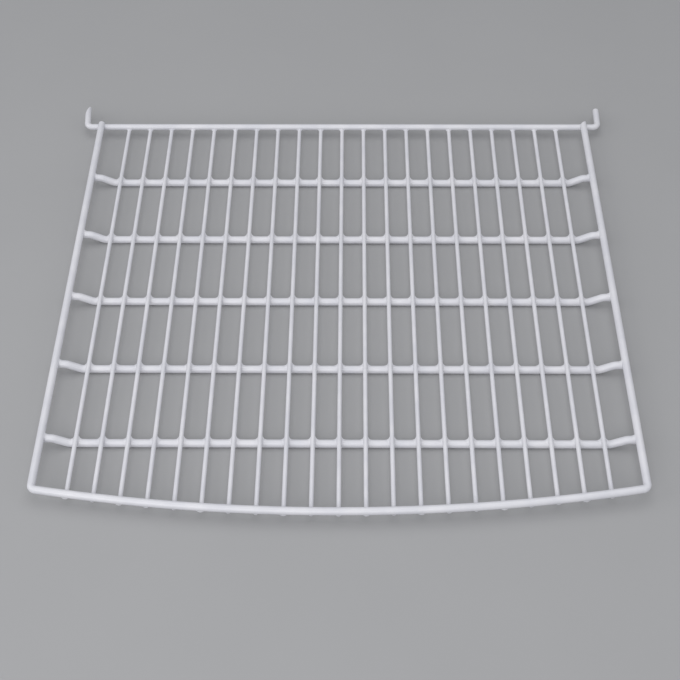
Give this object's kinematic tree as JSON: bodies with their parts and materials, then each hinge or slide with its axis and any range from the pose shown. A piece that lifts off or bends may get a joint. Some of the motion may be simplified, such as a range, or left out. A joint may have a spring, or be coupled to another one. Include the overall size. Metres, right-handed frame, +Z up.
{
  "type": "display fridge shelf",
  "caption": "White coated wire shelf for a display fridge: thin deck wires on joggled cross wires in a bowed U-shaped frame, with two rear hooks.",
  "frame": {"origin": "middle of the footprint, hooks included, on the plane under the cross wires", "axes": "+X to the right seen from the front, +Y towards the rear bar and hooks, +Z up"},
  "size_m": [0.4871, 0.4535, 0.0153],
  "materials": {
    "white_coating": "gloss white plastic coating over steel wire"
  },
  "bodies": {
    "root": {"frame_wire": "white_coating", "rear_bar": "white_coating", "cross_wire_1": "white_coating", "cross_wire_2": "white_coating", "cross_wire_3": "white_coating", "cross_wire_4": "white_coating", "cross_wire_5": "white_coating", "deck_wire_01": "white_coating", "deck_wire_02": "white_coating", "deck_wire_03": "white_coating", "deck_wire_04": "white_coating", "deck_wire_05": "white_coating", "deck_wire_06": "white_coating", "deck_wire_07": "white_coating", "deck_wire_08": "white_coating", "deck_wire_09": "white_coating", "deck_wire_10": "white_coating", "deck_wire_11": "white_coating", "deck_wire_12": "white_coating", "deck_wire_13": "white_coating", "deck_wire_14": "white_coating", "deck_wire_15": "white_coating", "deck_wire_16": "white_coating", "deck_wire_17": "white_coating", "deck_wire_18": "white_coating", "deck_wire_19": "white_coating", "deck_wire_20": "white_coating", "deck_wire_21": "white_coating"}
  },
  "joints": []
}
